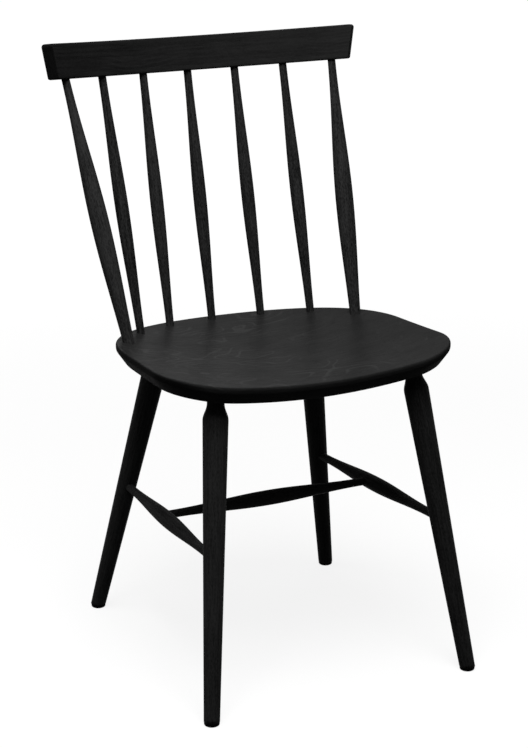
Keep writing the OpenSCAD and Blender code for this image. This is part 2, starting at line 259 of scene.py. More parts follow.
def plank_noise(tree, grain, across, along, detail=2.0):
    place = vector_calc(tree, "MULTIPLY", grain, (across, across, along))
    return add(tree, "ShaderNodeTexNoise", Vector=place, Scale=1.0, Detail=detail, Roughness=0.55)


def uneven(tree, grain, across, along):
    """How well the stain took, from -0.5 where it is darkest to 0.5 where it is palest."""
    noise = plank_noise(tree, grain, across, along, detail=1.0).outputs["Fac"]
    return spread(tree, noise, STAIN_LOW, STAIN_HIGH, -0.5, 0.5)


def clouds(tree, grain):
    return calc(tree, "SUBTRACT", plank_noise(tree, grain, *CLOUDS).outputs["Fac"], 0.5)


def open_pores(tree, grain):
    """1 in a pore and 0 beside it."""
    return spread(tree, plank_noise(tree, grain, *PORES).outputs["Fac"], PORE_LOW, PORE_HIGH, 0, 1)


for mark, (across, along) in (("fleck", FLECKS), ("cloud", CLOUDS), ("pore", PORES)):
    print("a", mark, "is about", round(1000 / across, 1), "by", round(1000 / along, 1), "mm")

# %% [markdown]
# ### Growth rings
#
# A tree adds one ring a year round its pith. The distance from the pith, divided by a ring's
# width, therefore counts the years, and its fraction says how far one year has come. Noise
# bends the rings first, as real ones are never true circles. Bars are cut from near the pith
# and show narrow rings. The seat board is cut flat and far from it, so its rings open into
# wide, nested curves. In places the stain hides the lines, and a patchy noise does that here.


# %% Growth rings
EDGE_PITH, FLAT_PITH = (0.06, 0.0, 0), (0.0, -0.6, 0)
LINE_PEAK, LINE_FADE = 0.9, 0.92
PATCHES = (15, 11)
PATCH_LOW, PATCH_HIGH = 0.47, 0.62


def growth_lines(tree, grain, pith, ring, line, waves, wander):
    """1 on the light line of each ring, which starts at the share called line of its width."""
    wave = plank_noise(tree, grain, *waves).outputs["Color"]
    push = vector_calc(tree, "MULTIPLY", wave, (wander, wander, 0))
    from_pith = vector_calc(tree, "SUBTRACT", vector_calc(tree, "ADD", grain, push), pith)
    distance = vector_calc(tree, "LENGTH", vector_calc(tree, "MULTIPLY", from_pith, (1, 1, 0)))
    year = calc(tree, "FRACT", calc(tree, "DIVIDE", distance, ring))
    rise = spread(tree, year, line, LINE_PEAK, 0, 1)
    fall = spread(tree, year, LINE_FADE, 1.0, 1, 0)
    patch = plank_noise(tree, grain, *PATCHES).outputs["Fac"]
    patch = spread(tree, patch, PATCH_LOW, PATCH_HIGH, 0.0, 1)
    return calc(tree, "MULTIPLY", calc(tree, "MULTIPLY", rise, fall), patch)


for cut, pith in (("a bar", EDGE_PITH), ("the seat", FLAT_PITH)):
    print(cut, "is cut", round(Vector(pith).length * 1000), "mm from the pith")

# %% [markdown]
# ### The finish as a whole
#
# The marks are added up to one share, from dark to light, and the share picks the tone. Where
# a face is cut across the fibres it is end grain, which drinks more stain and dries darker. The
# same marks steer the lacquer: it is a little shinier on pale streaks, duller over pores, and
# sinks into them by about a tenth of a millimetre, which a bump is enough for.


# %% End grain
LONG_GRAIN, END_GRAIN = 0.35, 0.85


def end_grain(tree, end_tone):
    """1 on a piece's long faces, and end_tone where a face looks along the fibres."""
    normal = tree.nodes.new("ShaderNodeNewGeometry").outputs["Normal"]
    fibre = attribute(tree, "fibre")["Vector"]
    facing = calc(tree, "ABSOLUTE", vector_calc(tree, "DOT_PRODUCT", fibre, normal))
    return spread(tree, facing, LONG_GRAIN, END_GRAIN, 1.0, end_tone)


# %% Stained wood
CLOUD_TONE, PORE_TONE = 0.3, -0.2
STREAK_SHINE, PORE_DULLNESS = -0.06, 0.12
STREAK_HEIGHT, PORE_DEPTH, BUMP_STRENGTH = 0.4, 0.00012, 0.25


def stained_wood(
    name, dark, light, gloss, roughness=0.6, pith=EDGE_PITH, ring=0.0042, waves=(11, 5), wander=0.03,
    figure=0.15, line=0.5, streaks=0.2, streak=22, flecks=0.4, end_tone=0.4,
):
    """A wood finish whose tone lies between dark and light.

    A ring is ring metres wide, and its light line starts at the share called line. Its waves
    are as long as waves says and as deep as wander. figure, streaks and flecks say how plainly
    the lines, streaks and flecks show, streak how many streaks follow one another in a metre,
    and end_tone how much of the tone is left on end grain.
    """
    material, tree = empty_material(name)
    shader = tree.nodes.new("ShaderNodeBsdfPrincipled")
    show(tree, shader)
    grain = attribute(tree, "grain")["Vector"]
    lines = growth_lines(tree, grain, pith, ring, line, waves, wander)
    wide = uneven(tree, grain, STREAKS_ACROSS, streak)
    fine = uneven(tree, grain, *FLECKS)
    pores = open_pores(tree, grain)

    share = calc(tree, "ADD", calc(tree, "MULTIPLY", lines, figure), 0.5)
    # The paleness attribute is each piece's own tone. On the crest rail it is also a painted shade and
    # light from end to end.
    share = calc(tree, "ADD", share, attribute(tree, "paleness")["Fac"])
    marks = ((wide, streaks), (fine, flecks), (clouds(tree, grain), CLOUD_TONE), (pores, PORE_TONE))
    for mark, amount in marks:
        share = calc(tree, "ADD", share, calc(tree, "MULTIPLY", mark, amount), clamp=True)
    tone = spread(tree, share, 0.0, 1.0, dark, light)
    tone = calc(tree, "MULTIPLY", tone, end_grain(tree, end_tone))
    tree.links.new(tone, shader.inputs["Base Color"])

    dull = calc(tree, "ADD", calc(tree, "MULTIPLY", wide, STREAK_SHINE), roughness)
    dull = calc(tree, "ADD", dull, calc(tree, "MULTIPLY", pores, PORE_DULLNESS))
    tree.links.new(dull, shader.inputs["Roughness"])
    shader.inputs["Specular IOR Level"].default_value = gloss
    height = calc(tree, "SUBTRACT", calc(tree, "MULTIPLY", wide, STREAK_HEIGHT), pores)
    bump = add(tree, "ShaderNodeBump", Strength=BUMP_STRENGTH, Distance=PORE_DEPTH, Height=height)
    tree.links.new(bump.outputs["Normal"], shader.inputs["Normal"])
    return material


# %% [markdown]
# ### One wood, five finishes
#
# The pieces are of one wood, but each was worked in its own way. The turned ones show the most
# flecks, the spindles more than the legs and stretchers. The rail was planed and bent, and has
# long thin streaks. The seat's top was sanded most, so it has hardly a fleck but the plainest
# figure, and it mirrors the white room a little. The seat's edge is shaped last and stays
# duller. Its tone is also set darker than the top's. That is painted shade, for the edge that
# faces down under the seat.

# %% One wood, five finishes
spindle_wood = stained_wood(
    "stained_wood_spindles", dark=0.006, light=0.042, gloss=0.004, streaks=0.25, flecks=0.44,
)
leg_wood = stained_wood(
    "stained_wood_legs", dark=0.005, light=0.036, gloss=0.01,
    figure=0.12, streaks=0.18, flecks=0.26,
)
rail_wood = stained_wood(
    "stained_wood_rail", dark=0.006, light=0.035, gloss=0.001, ring=0.0034, figure=0.12,
    streaks=0.12, streak=9, flecks=0.10, end_tone=0.65,
)
seat_wood = stained_wood(
    "stained_wood_seat_top", dark=0.006, light=0.030, gloss=0.006, roughness=0.42,
    pith=FLAT_PITH, ring=0.015, waves=(8, 6), wander=0.26, figure=0.42, line=0.67,
    streaks=0.03, flecks=0.02,
)
# The edge's darker tone is painted shade for the edge that faces down under the seat. Its duller lacquer
# is real.
edge_wood_painted_shade = stained_wood(
    "stained_wood_seat_edge_painted_shade", dark=0.004, light=0.024, gloss=0.005, roughness=0.7,
    pith=FLAT_PITH, ring=0.014, wander=0.2, figure=0.2, line=0.7, streaks=0.045, flecks=0.03,
)
woods = (spindle_wood, leg_wood, rail_wood, seat_wood, edge_wood_painted_shade)
print("wood finishes:", [wood.name for wood in woods])

# %% [markdown]
# ## Plastic and steel
#
# The glides under the legs are moulded in black plastic with a fine spark-eroded texture. Their
# nails are plain drawn steel, turned bright. One flat colour would make both look like paint.
# Their detail is in how they scatter light, so a fine noise drives the tone a little, and the
# roughness and a shallow bump more.


# %% Plastic and steel
TONE_SWING, ROUGHNESS_SWING = 0.25, 0.06
SPECK_LOW, SPECK_HIGH, SPECK_STRENGTH = 0.3, 0.7, 0.4


def grained(name, colour, metallic, gloss, roughness, scale, depth):
    """A finish with specks, about scale of them to a metre and depth metres high."""
    material, tree = empty_material(name)
    shader = tree.nodes.new("ShaderNodeBsdfPrincipled")
    show(tree, shader)
    place = add(tree, "ShaderNodeTexCoord").outputs["Object"]
    speck = add(tree, "ShaderNodeTexNoise", Vector=place, Scale=scale, Detail=3.0, Roughness=0.6)
    speck = speck.outputs["Fac"]
    tone = add(tree, "ShaderNodeValToRGB", Fac=speck)
    tone.color_ramp.elements[0].color = (*(c * (1 - TONE_SWING) for c in colour), 1)
    tone.color_ramp.elements[1].color = (*(c * (1 + TONE_SWING) for c in colour), 1)
    tree.links.new(tone.outputs["Color"], shader.inputs["Base Color"])
    low, high = roughness - ROUGHNESS_SWING, roughness + ROUGHNESS_SWING
    rough = spread(tree, speck, SPECK_LOW, SPECK_HIGH, low, high)
    tree.links.new(rough, shader.inputs["Roughness"])
    shader.inputs["Metallic"].default_value = metallic
    shader.inputs["Specular IOR Level"].default_value = gloss
    bump = add(tree, "ShaderNodeBump", Strength=SPECK_STRENGTH, Distance=depth, Height=speck)
    tree.links.new(bump.outputs["Normal"], shader.inputs["Normal"])
    return material


glide_plastic = grained(
    "moulded_plastic", (0.0015, 0.0015, 0.0015),
    metallic=0, gloss=0.01, roughness=0.7, scale=1800, depth=0.00005,
)
nail_steel = grained(
    "drawn_steel", (0.60, 0.61, 0.63),
    metallic=1, gloss=0.5, roughness=0.32, scale=2500, depth=0.00002,
)
print("small finishes:", glide_plastic.name, nail_steel.name)

# %% [markdown]
# ## Turned pieces from one rule
#
# A wood turner makes every spindle and stretcher from a round blank and a rule for its
# thickness: slim ends, and one long swelling whose curve is a squared cosine. A profile could
# be drawn for each and spun, but Geometry Nodes make all ten swelled bars from one tree and a
# few sizes. The tree starts from a plain cylinder, moves each ring to its place along the bar,
# gives it the radius of the rule, and then stands the bar between its two ends.


# %% Starting and ending a tree
def new_tree(name, sizes):
    """A Geometry Nodes tree whose inputs are named sizes, a plank, a paleness and a finish."""
    tree = bpy.data.node_groups.new(name, "GeometryNodeTree")
    for size, value in sizes.items():
        kind = "NodeSocketFloat" if isinstance(value, (int, float)) else "NodeSocketVector"
        tree.interface.new_socket(size, in_out="INPUT", socket_type=kind).default_value = value
    for extra, kind in (("Plank", "Vector"), ("Paleness", "Float"), ("Finish", "Material")):
        tree.interface.new_socket(extra, in_out="INPUT", socket_type=f"NodeSocket{kind}")
    tree.interface.new_socket("Piece", in_out="OUTPUT", socket_type="NodeSocketGeometry")
    return tree, tree.nodes.new("NodeGroupInput").outputs


def finish_tree(tree, sizes, geometry):
    real = add(tree, "GeometryNodeRealizeInstances", Geometry=geometry).outputs[0]
    coated = add(tree, "GeometryNodeSetMaterial", Geometry=real, Material=sizes["Finish"])
    tree.links.new(coated.outputs[0], tree.nodes.new("NodeGroupOutput").inputs[0])


def store(tree, geometry, name, value, kind="FLOAT_VECTOR"):
    """Writes a value on every point, under a name that a material can read."""
    node = add(
        tree, "GeometryNodeStoreNamedAttribute", {"data_type": kind, "domain": "POINT"},
        Geometry=geometry, Name=name, Value=value,
    )
    return node.outputs[0]


def mark_wood(tree, geometry, grain, fibre, paleness):
    """Writes the three attributes that the stained wood reads."""
    geometry = store(tree, geometry, "grain", grain)
    geometry = store(tree, geometry, "fibre", fibre)
    return store(tree, geometry, "paleness", paleness, "FLOAT")


# %% Where the points of a bar go
def own_place(tree):
    """Where each point is at this step of the tree."""
    return tree.nodes.new("GeometryNodeInputPosition").outputs[0]


def split(tree, vector):
    return add(tree, "ShaderNodeSeparateXYZ", Vector=vector).outputs


def join(tree, **parts):
    return add(tree, "ShaderNodeCombineXYZ", **parts).outputs[0]


def bar_line(tree, sizes):
    return vector_calc(tree, "SUBTRACT", sizes["Head"], sizes["Foot"])


def length_in_mm(tree, sizes):
    return calc(tree, "DIVIDE", vector_calc(tree, "LENGTH", bar_line(tree, sizes)), MM)


def turned_place(tree, low, high, radius_at):
    """Where the points of a unit cylinder go, in mm, on a bar that runs along Z from low to high."""
    corner = split(tree, own_place(tree))
    share = calc(tree, "ADD", corner["Z"], 0.5)
    s = calc(tree, "ADD", low, calc(tree, "MULTIPLY", share, calc(tree, "SUBTRACT", high, low)))
    radius = radius_at(s)
    x = calc(tree, "MULTIPLY", corner["X"], radius)
    y = calc(tree, "MULTIPLY", corner["Y"], radius)
    return join(tree, X=x, Y=y, Z=s)


# %% The lathe
BAR_SIDES = 56


def lathe(tree, sizes, rings, low, high, radius_at):
    """A cylinder turned to the rule radius_at, and the selection of its lower end."""
    rod = add(
        tree, "GeometryNodeMeshCylinder", {"fill_type": "TRIANGLE_FAN"},
        Vertices=BAR_SIDES, Side_Segments=rings, Fill_Segments=1, Radius=1.0, Depth=1.0,
    )
    place = turned_place(tree, low, high, radius_at)
    metres = vector_calc(tree, "MULTIPLY", place, (MM, MM, MM))
    grain = vector_calc(tree, "ADD", metres, sizes["Plank"])
    fibre = vector_calc(tree, "NORMALIZE", bar_line(tree, sizes))
    marked = mark_wood(tree, rod.outputs["Mesh"], grain, fibre, sizes["Paleness"])
    shaped = add(tree, "GeometryNodeSetPosition", Geometry=marked, Position=metres).outputs[0]
    smooth = add(tree, "GeometryNodeSetShadeSmooth", Geometry=shaped, Selection=rod.outputs["Side"])
    flat_ends = add(
        tree, "GeometryNodeSetShadeSmooth", Geometry=smooth.outputs[0],
        Selection=calc(tree, "MAXIMUM", rod.outputs["Top"], rod.outputs["Bottom"]),
        Shade_Smooth=False,
    )
    return flat_ends.outputs[0], rod.outputs["Bottom"]


def stand(tree, sizes, geometry):
    """Stands a bar that was made along Z between the inputs Foot and Head."""
    turned = add(
        tree, "FunctionNodeAlignRotationToVector", {"axis": "Z"}, Vector=bar_line(tree, sizes),
    )
    moved = add(
        tree, "GeometryNodeTransform",
        Geometry=geometry, Translation=sizes["Foot"], Rotation=turned.outputs[0],
    )
    return moved.outputs[0]


# %% The swelled bar's rule
bar_tree, bar_sizes = new_tree("swelled_bar", {
    "Foot": (0, 0, 0), "Head": (0, 0, 0.4), "Low Tenon": 17.0, "High Tenon": 13.0,
    "Low Diameter": 12.0, "High Diameter": 12.0, "Middle Diameter": 20.0,
    "Middle Place": 182.0, "Low Swell": 192.0, "High Swell": 192.0,
})
bar_calc = partial(calc, bar_tree)


def bulge(distance, half_length):
    """A squared cosine: 1 at the middle of the swelling, 0 at its end and beyond."""
    share = bar_calc("MINIMUM", bar_calc("DIVIDE", distance, half_length), 1.0)
    return bar_calc("POWER", bar_calc("COSINE", bar_calc("MULTIPLY", share, pi / 2)), 2.0)


def bar_radius(s):
    """The rule of the swelled bar. A swelling cut short by the foot still starts from 0 there."""
    from_middle = bar_calc("SUBTRACT", s, bar_sizes["Middle Place"])
    is_low = bar_calc("LESS_THAN", from_middle, 0.0)
    is_high = bar_calc("SUBTRACT", 1.0, is_low)

    def pick(low, high):
        low_share = bar_calc("MULTIPLY", is_low, low)
        return bar_calc("ADD", low_share, bar_calc("MULTIPLY", is_high, high))

    half = pick(bar_sizes["Low Swell"], bar_sizes["High Swell"])
    swelling = bulge(bar_calc("ABSOLUTE", from_middle), half)
    at_foot = bulge(bar_sizes["Middle Place"], bar_sizes["Low Swell"])
    at_foot = bar_calc("MULTIPLY", is_low, at_foot)
    above_foot = bar_calc("SUBTRACT", swelling, at_foot)
    rest = bar_calc("DIVIDE", above_foot, bar_calc("SUBTRACT", 1.0, at_foot))
    rest = bar_calc("MAXIMUM", rest, 0.0)
    end = pick(bar_sizes["Low Diameter"], bar_sizes["High Diameter"])
    extra = bar_calc("SUBTRACT", bar_sizes["Middle Diameter"], end)
    diameter = bar_calc("ADD", end, bar_calc("MULTIPLY", extra, rest))
    return bar_calc("DIVIDE", diameter, 2.0)


print("swelled_bar has", len(bar_sizes) - 1, "named inputs")

# %% The swelled bar
BAR_RINGS = 130
low_end = bar_calc("MULTIPLY", bar_sizes["Low Tenon"], -1.0)
high_end = bar_calc("ADD", length_in_mm(bar_tree, bar_sizes), bar_sizes["High Tenon"])
bar = lathe(bar_tree, bar_sizes, BAR_RINGS, low_end, high_end, bar_radius)[0]
finish_tree(bar_tree, bar_sizes, stand(bar_tree, bar_sizes, bar))
print("swelled_bar has", len(bar_tree.nodes), "nodes")

# %% [markdown]
# ## A mesh from a tree
#
# A tree could stay on its piece as a live modifier, but a library keeps shapes and not recipes.
# The modifier's inputs are set by their socket identifiers before the object is first
# evaluated. The evaluated result is then copied to a plain mesh, and the modifier is dropped.


# %% Turn a tree into a piece
def bake(piece):
    """Puts the evaluated shape in the piece's own mesh and drops its modifiers."""
    graph = bpy.context.evaluated_depsgraph_get()
    seen = piece.evaluated_get(graph)
    mesh = bpy.data.meshes.new_from_object(seen, preserve_all_data_layers=True, depsgraph=graph)
    piece.modifiers.clear()
    piece.data = mesh
    mesh.name = piece.name


def in_metres(point):
    return (point.x * MM, (point.y + SHIFT_Y) * MM, point.z * MM)


def make_piece(name, tree, finish, sizes):
    piece = bpy.data.objects.new(name, bpy.data.meshes.new(name))
    bpy.context.scene.collection.objects.link(piece)
    modifier = piece.modifiers.new("shape", "NODES")
    modifier.node_group = tree
    values = dict(sizes, Finish=finish)
    for item in tree.interface.items_tree:
        if item.in_out == "INPUT" and item.name in values:
            modifier[item.identifier] = values.pop(item.name)
    if values:
        raise ValueError(f"{tree.name} has no input named {list(values)}")
    bake(piece)
    return piece


def give(piece, slot, *replaced):
    """Hangs a finished piece on the chair's one body, in the place of its CAD nodes."""
    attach(piece, "root")
    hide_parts(*replaced)
    print(piece.name, len(piece.data.polygons), "faces")


# %% [markdown]
# ## Spindles
#
# The two outer spindles are stouter than the five inner ones, with a thick foot and their
# belly low down, because they carry the crest rail. All seven stand on one arc on the seat and
# end on the rail's own arc, evenly spaced on both, so the fan opens by itself. One could be
# made, copied and tilted, but no two lean alike, so the tree makes each between its own two
# ends. Each blank is cut from another place in the plank, and no two take the stain alike:
# Paleness says how much lighter than the rest each one came out.

# %% Spindles
SPINDLE_NAMES = {
    -3: "outer_spindle_left", -2: "spindle_2", -1: "spindle_3", 0: "spindle_4",
    1: "spindle_5", 2: "spindle_6", 3: "outer_spindle_right",
}
SPINDLE_PALENESS = {-3: 0.17, -2: -0.04, -1: 0.1, 0: 0.05, 1: 0.07, 2: 0.01, 3: 0.05}
INNER_SPINDLE = {
    "Low Diameter": 11.8, "High Diameter": 11.8, "Middle Diameter": 20.0,
    "Middle Place": 182.0, "Low Swell": 192.0, "High Swell": 192.0,
}
OUTER_SPINDLE = {
    "Low Diameter": 16.2, "High Diameter": 11.8, "Middle Diameter": 27.0,
    "Middle Place": 170.0, "Low Swell": 205.0, "High Swell": 222.0,
}


def spindle_plank(i):
    """A place in the plank that no other spindle has."""
    return (0.031 * i, 0.017 * i, 0.7 * i + 3)


for i, node in SPINDLE_NAMES.items():
    shape = OUTER_SPINDLE if abs(i) == 3 else INNER_SPINDLE
    spindle = make_piece(f"{node}_turned", bar_tree, spindle_wood, {
        **shape, "Foot": in_metres(spindle_foot(i)), "Head": in_metres(spindle_head(i)),
        "Low Tenon": 16.6, "High Tenon": 4.0,
        "Plank": spindle_plank(i), "Paleness": SPINDLE_PALENESS[i],
    })
    give(spindle, "stained_wood", node)

# %% [markdown]
# ## Stretchers
#
# A stretcher is thin at both ends, so that its tenons fit a leg, and thick in the middle. The
# side stretchers need that thickness, because the cross stretcher is let into them there. None
# of the three needs a new tree: each is the same swelled bar laid down, with its belly halfway.


# %% Stretchers
def make_stretcher(node, foot, head, sizes):
    """A bar that swells evenly to both sides of its middle."""
    stretcher = make_piece(f"{node}_turned", bar_tree, leg_wood, {
        "Foot": in_metres(foot), "Head": in_metres(head), "Low Tenon": 2.0, "High Tenon": 2.0,
        "Middle Place": (head - foot).length / 2, "Low Swell": 150.0, "High Swell": 150.0,
        **sizes,
    })
    give(stretcher, "stained_wood", node)


for name, side in SIDES.items():
    make_stretcher(f"side_stretcher_{name}", side_end("front", side), side_end("back", side), {
        "Low Diameter": 12.0, "High Diameter": 12.0, "Middle Diameter": 22.8,
        "Plank": (0.05 * side, 0.02, 6 + side),
    })
make_stretcher("cross_stretcher", cross_end(LEFT), cross_end(RIGHT), {
    "Low Diameter": 11.8, "High Diameter": 11.8, "Middle Diameter": 22.6,
    "Plank": (0.01, -0.04, 9), "Paleness": 0.2,
})

# %% [markdown]
# ## Legs
#
# A leg is thickest just below the seat, where it takes the most strain, and tapers in a
# straight line to the floor. Above that it runs in through a short rounded shoulder to
# a neck as thick as its tenon. A second tree follows that rule. The maker saws the feet of a
# finished chair level. A Boolean could cut them too, but it leaves a rough mesh, so the tree
# slides the points of the lower end along the leg until they lie level.

# %% The leg's rule
LEG_RINGS = 150
leg_tree, leg_sizes = new_tree("leg", {
    "Foot": (0, 0, 0), "Head": (0, 0, 0.44), "Tenon": 17.0, "Cut Height": 5.5,
    "Foot Diameter": 22.0, "Thick Diameter": 35.0, "Neck Diameter": 24.0,
    "Neck Length": 7.0, "Shoulder Length": 22.0,
})
leg_calc = partial(calc, leg_tree)
leg_length = length_in_mm(leg_tree, leg_sizes)


def leg_radius(s):
    """The smaller of a straight taper from the foot and a rounded shoulder below the neck."""
    neck = leg_calc("SUBTRACT", leg_length, leg_sizes["Neck Length"])
    taper_length = leg_calc("SUBTRACT", neck, leg_sizes["Shoulder Length"])
    gain = leg_calc("SUBTRACT", leg_sizes["Thick Diameter"], leg_sizes["Foot Diameter"])
    gain = leg_calc("MULTIPLY", gain, leg_calc("DIVIDE", s, taper_length))
    taper = leg_calc("ADD", leg_sizes["Foot Diameter"], gain)
    below_seat = leg_calc("SUBTRACT", leg_length, s)
    share = leg_calc("SUBTRACT", below_seat, leg_sizes["Neck Length"])
    share = leg_calc("DIVIDE", share, leg_sizes["Shoulder Length"], clamp=True)
    wave = leg_calc("SUBTRACT", 1.0, leg_calc("COSINE", leg_calc("MULTIPLY", share, pi)))
    rise = leg_calc("SUBTRACT", leg_sizes["Thick Diameter"], leg_sizes["Neck Diameter"])
    rise = leg_calc("DIVIDE", rise, 2.0)
    shoulder = leg_calc("ADD", leg_sizes["Neck Diameter"], leg_calc("MULTIPLY", rise, wave))
    return leg_calc("DIVIDE", leg_calc("MINIMUM", taper, shoulder), 2.0)


leg_axis = vector_calc(leg_tree, "NORMALIZE", bar_line(leg_tree, leg_sizes))
axis_z = split(leg_tree, leg_axis)["Z"]
low_end = leg_calc("DIVIDE", leg_sizes["Cut Height"], axis_z)
high_end = leg_calc("ADD", leg_length, leg_sizes["Tenon"])
leg, sole = lathe(leg_tree, leg_sizes, LEG_RINGS, low_end, high_end, leg_radius)
leg = stand(leg_tree, leg_sizes, leg)
print("leg has", len(leg_tree.nodes), "nodes so far")

# %% Saw the foot level
height = split(leg_tree, own_place(leg_tree))["Z"]
cut_height = leg_calc("MULTIPLY", leg_sizes["Cut Height"], MM)
slide = leg_calc("DIVIDE", leg_calc("SUBTRACT", cut_height, height), axis_z)
step = add(leg_tree, "ShaderNodeVectorMath", {"operation": "SCALE"}, in0=leg_axis, Scale=slide)
level = add(
    leg_tree, "GeometryNodeSetPosition", Geometry=leg, Selection=sole, Offset=step.outputs["Vector"],
)
finish_tree(leg_tree, leg_sizes, level.outputs[0])
print("leg has", len(leg_tree.nodes), "nodes")

# %% Four legs
LEG_PLANK_Y = {"front": 0.04, "back": -0.03}
LEG_PALENESS = {
    "front_leg_left": 0.1, "front_leg_right": -0.02, "back_leg_left": 0.12, "back_leg_right": 0.12,
}
for side_name, side in SIDES.items():
    for row in ("front", "back"):
        node = f"{row}_leg_{side_name}"
        leg_piece = make_piece(f"{node}_turned", leg_tree, leg_wood, {
            "Foot": in_metres(leg_foot(row, side)), "Head": in_metres(leg_top(row, side)),
            "Tenon": 17.1, "Cut Height": 5.5,
            "Foot Diameter": 22.2, "Thick Diameter": 35.4, "Neck Diameter": 24.0,
            "Neck Length": 7.0, "Shoulder Length": 22.0,
            "Plank": (0.023 * side, LEG_PLANK_Y[row], 12 + 2 * side),
            "Paleness": LEG_PALENESS[node],
        })
        give(leg_piece, "stained_wood", node)

# %% [markdown]
# ## Crest rail
#
# The rail is a flat bar that is steamed and bent round a form, and the lesson makes it in the
# same order. A cube with a bevel would do for a plain bar, but here the four tips are rounded
# by two different radii, and a rule can say that. A straight block comes first. Its surface is
# a net whose lines crowd towards every edge, so that small roundings have enough points.

# %% The straight block
rail_tree, rail_sizes = new_tree("bent_rail", {
    "Bend Radius": 0.4, "Half Angle": 0.6, "Height": 0.05, "Thickness": 0.02,
    "Edge Radius": 0.002, "End Edge Radius": 0.001, "Top Tip Radius": 0.006,
    "Bottom Tip Radius": 0.003, "Flare": 0.2, "End Turn": 0.1, "Lean": 0.17,
    "Base": (0, 0.25, 0.8),
})
rail_calc = partial(calc, rail_tree)
block = add(
    rail_tree, "GeometryNodeMeshCube", Size=(2, 2, 2), Vertices_X=180, Vertices_Y=16, Vertices_Z=34,
).outputs["Mesh"]
quarter = vector_calc(rail_tree, "MULTIPLY", own_place(rail_tree), (pi / 2, pi / 2, pi / 2))
crowded = vector_calc(rail_tree, "SINE", quarter)
half_length = rail_calc("MULTIPLY", rail_sizes["Bend Radius"], rail_sizes["Half Angle"])
half_thick = rail_calc("DIVIDE", rail_sizes["Thickness"], 2.0)
half_high = rail_calc("DIVIDE", rail_sizes["Height"], 2.0)
half_size = join(rail_tree, X=half_length, Y=half_thick, Z=half_high)
inside = vector_calc(rail_tree, "MULTIPLY", crowded, half_size)
side_of = split(rail_tree, vector_calc(rail_tree, "SIGN", inside))
size_of = split(rail_tree, vector_calc(rail_tree, "ABSOLUTE", inside))
print("bent_rail has", len(rail_tree.nodes), "nodes so far")

# %% [markdown]
# ### Ease the tips and the edges
#
# The maker eases whatever a hand takes hold of: the two upper tips are much rounder than the
# lower ones, and the end faces keep crisp edges. A place that lies past the start of a rounding
# is moved onto a circle round that start, first in the rail's face and then across its edge.


# %% What a rounding needs
def past(size, half, radius):
    """How far a place lies past the start of a rounding, and the part before it."""
    start = rail_calc("SUBTRACT", half, radius)
    before = rail_calc("MINIMUM", size, start)
    return rail_calc("SUBTRACT", size, before), before


def corner_of(a, b):
    """The direction of two lengths, as its two parts, and the larger of the lengths."""
    squares = rail_calc("ADD", rail_calc("POWER", a, 2.0), rail_calc("POWER", b, 2.0))
    length = rail_calc("SQRT", squares)
    larger = rail_calc("MAXIMUM", a, b)
    return rail_calc("DIVIDE", a, length), rail_calc("DIVIDE", b, length), larger


def rounded(before, part, distance):
    """A place at this distance from the start of a rounding, in its part of the direction."""
    return rail_calc("ADD", before, rail_calc("MULTIPLY", part, distance))


# %% Ease the tips and the edges
is_top = rail_calc("GREATER_THAN", side_of["Z"], 0.0)
top_extra = rail_calc("SUBTRACT", rail_sizes["Top Tip Radius"], rail_sizes["Bottom Tip Radius"])
top_extra = rail_calc("MULTIPLY", is_top, top_extra)
tip_radius = rail_calc("ADD", rail_sizes["Bottom Tip Radius"], top_extra)
along_past, along_before = past(size_of["X"], half_length, tip_radius)
up_past, up_before = past(size_of["Z"], half_high, tip_radius)
along_part, up_part, rim = corner_of(along_past, up_past)

long_share = rail_calc("POWER", up_part, 2.0)
edge_extra = rail_calc("SUBTRACT", rail_sizes["Edge Radius"], rail_sizes["End Edge Radius"])
edge_extra = rail_calc("MULTIPLY", long_share, edge_extra)
edge_radius = rail_calc("ADD", rail_sizes["End Edge Radius"], edge_extra)
rim_past, rim_before = past(rim, tip_radius, edge_radius)
thick_past, thick_before = past(size_of["Y"], half_thick, edge_radius)
rim_part, thick_part, depth = corner_of(rim_past, thick_past)

rim = rounded(rim_before, rim_part, depth)
along = rail_calc("MULTIPLY", rounded(along_before, along_part, rim), side_of["X"])
thick = rail_calc("MULTIPLY", rounded(thick_before, thick_part, depth), side_of["Y"])
up = rail_calc("MULTIPLY", rounded(up_before, up_part, rim), side_of["Z"])
print("bent_rail has", len(rail_tree.nodes), "nodes so far")

# %% [markdown]
# ### Flare the ends and bend the block
#
# The rail is longer at its top than at its base, and its end cuts turn a little outwards at the
# back. Both are a longer reach along the arc, so they are added to the half angle before the
# block is bent. The grain bends with the wood, so it is measured along the arc, and the fibres
# point the way the arc runs.

# %% Flare the ends and bend the block
radius = rail_calc("ADD", rail_sizes["Bend Radius"], thick)
lift = rail_calc("ADD", up, half_high)
reach = rail_calc("MULTIPLY", lift, rail_calc("TANGENT", rail_sizes["Flare"]))
turned = rail_calc("MULTIPLY", thick, rail_calc("TANGENT", rail_sizes["End Turn"]))
reach = rail_calc("ADD", reach, turned)
reach = rail_calc("ARCSINE", rail_calc("DIVIDE", reach, radius))
end_angle = rail_calc("ADD", rail_sizes["Half Angle"], reach)
share = rail_calc("DIVIDE", along, half_length)
angle = rail_calc("MULTIPLY", share, end_angle)
sine, cosine = rail_calc("SINE", angle), rail_calc("COSINE", angle)

across = rail_calc("MULTIPLY", radius, sine)
back = rail_calc("SUBTRACT", rail_calc("MULTIPLY", radius, cosine), rail_sizes["Bend Radius"])
bent = join(rail_tree, X=across, Y=back, Z=lift)
arc = rail_calc("MULTIPLY", angle, rail_sizes["Bend Radius"])
plank_place = join(rail_tree, X=thick, Y=lift, Z=arc)
fibre = join(rail_tree, X=cosine, Y=rail_calc("MULTIPLY", sine, -1.0))
print("bent_rail has", len(rail_tree.nodes), "nodes so far")
